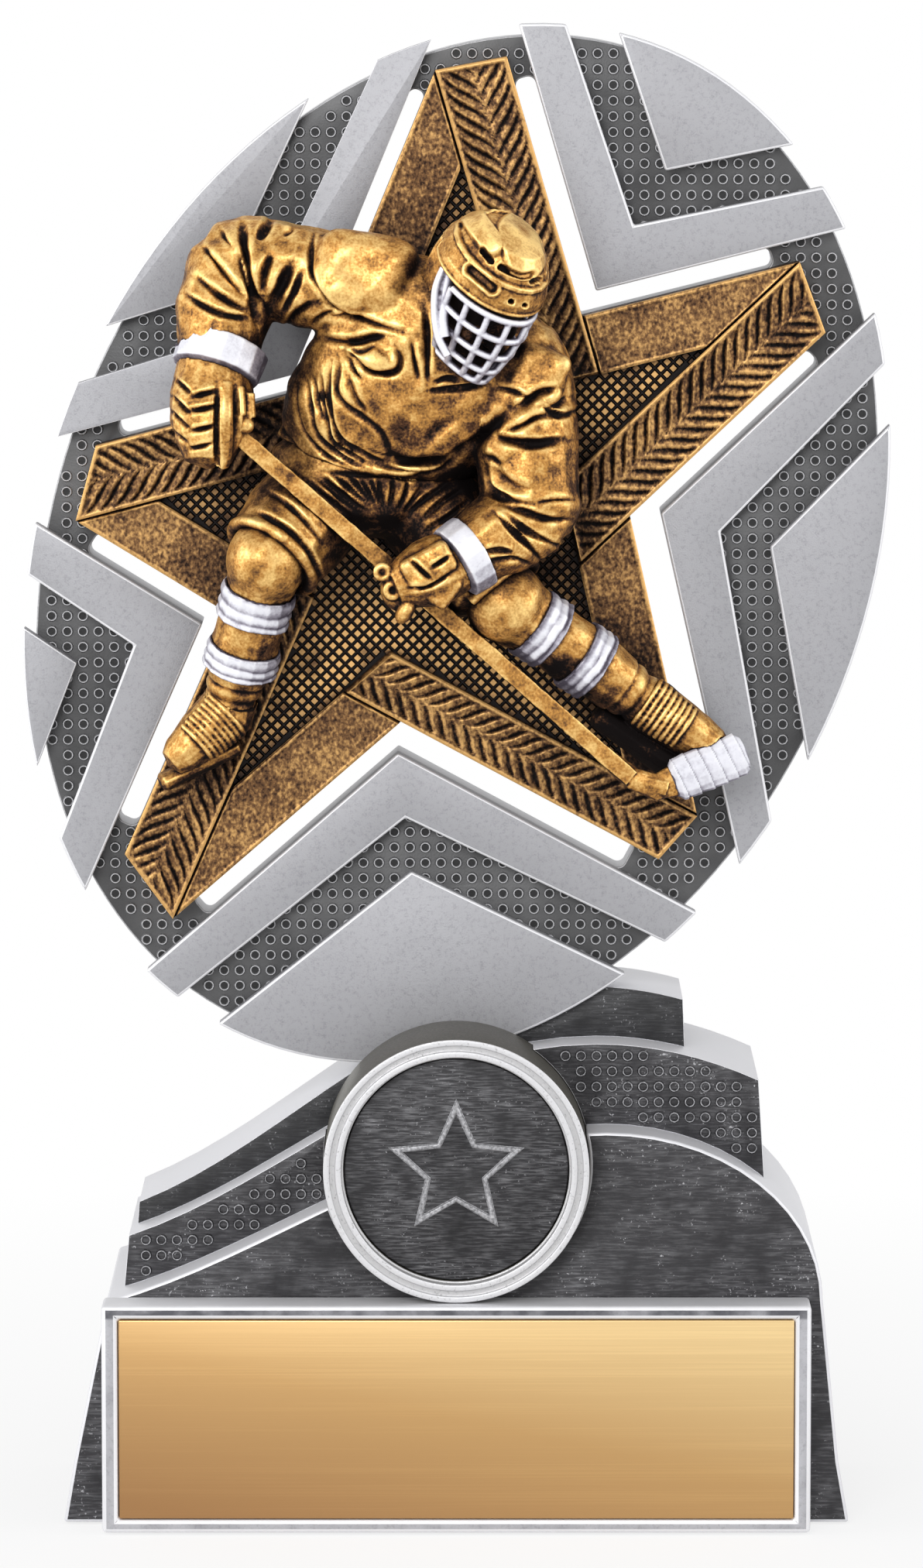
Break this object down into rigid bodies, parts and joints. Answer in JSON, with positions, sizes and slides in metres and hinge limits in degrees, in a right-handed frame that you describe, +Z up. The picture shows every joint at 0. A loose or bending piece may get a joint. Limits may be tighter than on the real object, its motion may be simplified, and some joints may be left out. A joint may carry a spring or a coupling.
{
  "type": "star trophy",
  "caption": "Resin award: stepped base with name plate and medallion recess, leaning oval disc with chevrons and slots, star with netted middle, and an ice-hockey player in relief.",
  "frame": {"origin": "underside of the felt pad, on the middle of the base's width and depth", "axes": "+Z up, -Y out of the front that carries the name plate, the medallion and the player, +X to the viewer's right"},
  "size_m": [0.1022, 0.0518, 0.1765],
  "materials": {
    "felt": "dark felt, short nap",
    "antique_charcoal": "cast resin painted charcoal, silver rubbed over edges and high spots",
    "satin_silver": "cast resin with satin silver metallic paint",
    "dark_plate": "cast resin painted dark grey, satin",
    "gold_plate": "thin sheet, fine brushed",
    "tape": "double-sided adhesive tape",
    "antique_bronze": "cast resin with bronze paint, dark wash in the recesses",
    "antique_gold": "cast resin with gold paint, dark brown wash in the creases",
    "silver_paint": "cast resin with bright silver paint",
    "pin_steel": "plain bright steel pin"
  },
  "bodies": {
    "root": {"base_pad": "felt", "plinth": "antique_charcoal", "dotted_tier": "antique_charcoal", "cap_tier": "antique_charcoal", "name_panel": "satin_silver", "plate_tape": "tape", "name_plate": "gold_plate", "medallion_boss": "satin_silver", "medallion_insert": "antique_charcoal", "disc_pin_left": "pin_steel", "disc_pin_right": "pin_steel", "back_disc": "dark_plate", "chevron_top_right": "satin_silver", "chevron_right": "satin_silver", "chevron_bottom": "satin_silver", "chevron_left": "satin_silver", "chevron_top_left": "satin_silver", "wedge_top_right": "satin_silver", "wedge_right": "satin_silver", "wedge_bottom": "satin_silver", "wedge_left": "satin_silver", "wedge_top_left": "satin_silver", "star_frame": "antique_bronze", "goal_net": "antique_bronze", "jersey": "antique_gold", "pants": "antique_gold", "right_sleeve": "antique_gold", "left_sleeve": "antique_gold", "right_glove": "antique_gold", "left_glove": "antique_gold", "head": "antique_gold", "helmet": "antique_gold", "right_leg": "antique_gold", "left_leg": "antique_gold", "right_skate": "antique_gold", "left_skate": "antique_gold", "stick": "antique_gold", "right_cuff": "silver_paint", "left_cuff": "silver_paint", "face_cage": "silver_paint", "right_upper_band": "silver_paint", "right_lower_band": "silver_paint", "left_upper_band": "silver_paint", "left_lower_band": "silver_paint", "blade_tape": "silver_paint", "hip_pin": "pin_steel", "right_foot_pin": "pin_steel", "left_foot_pin": "pin_steel"}
  },
  "joints": []
}
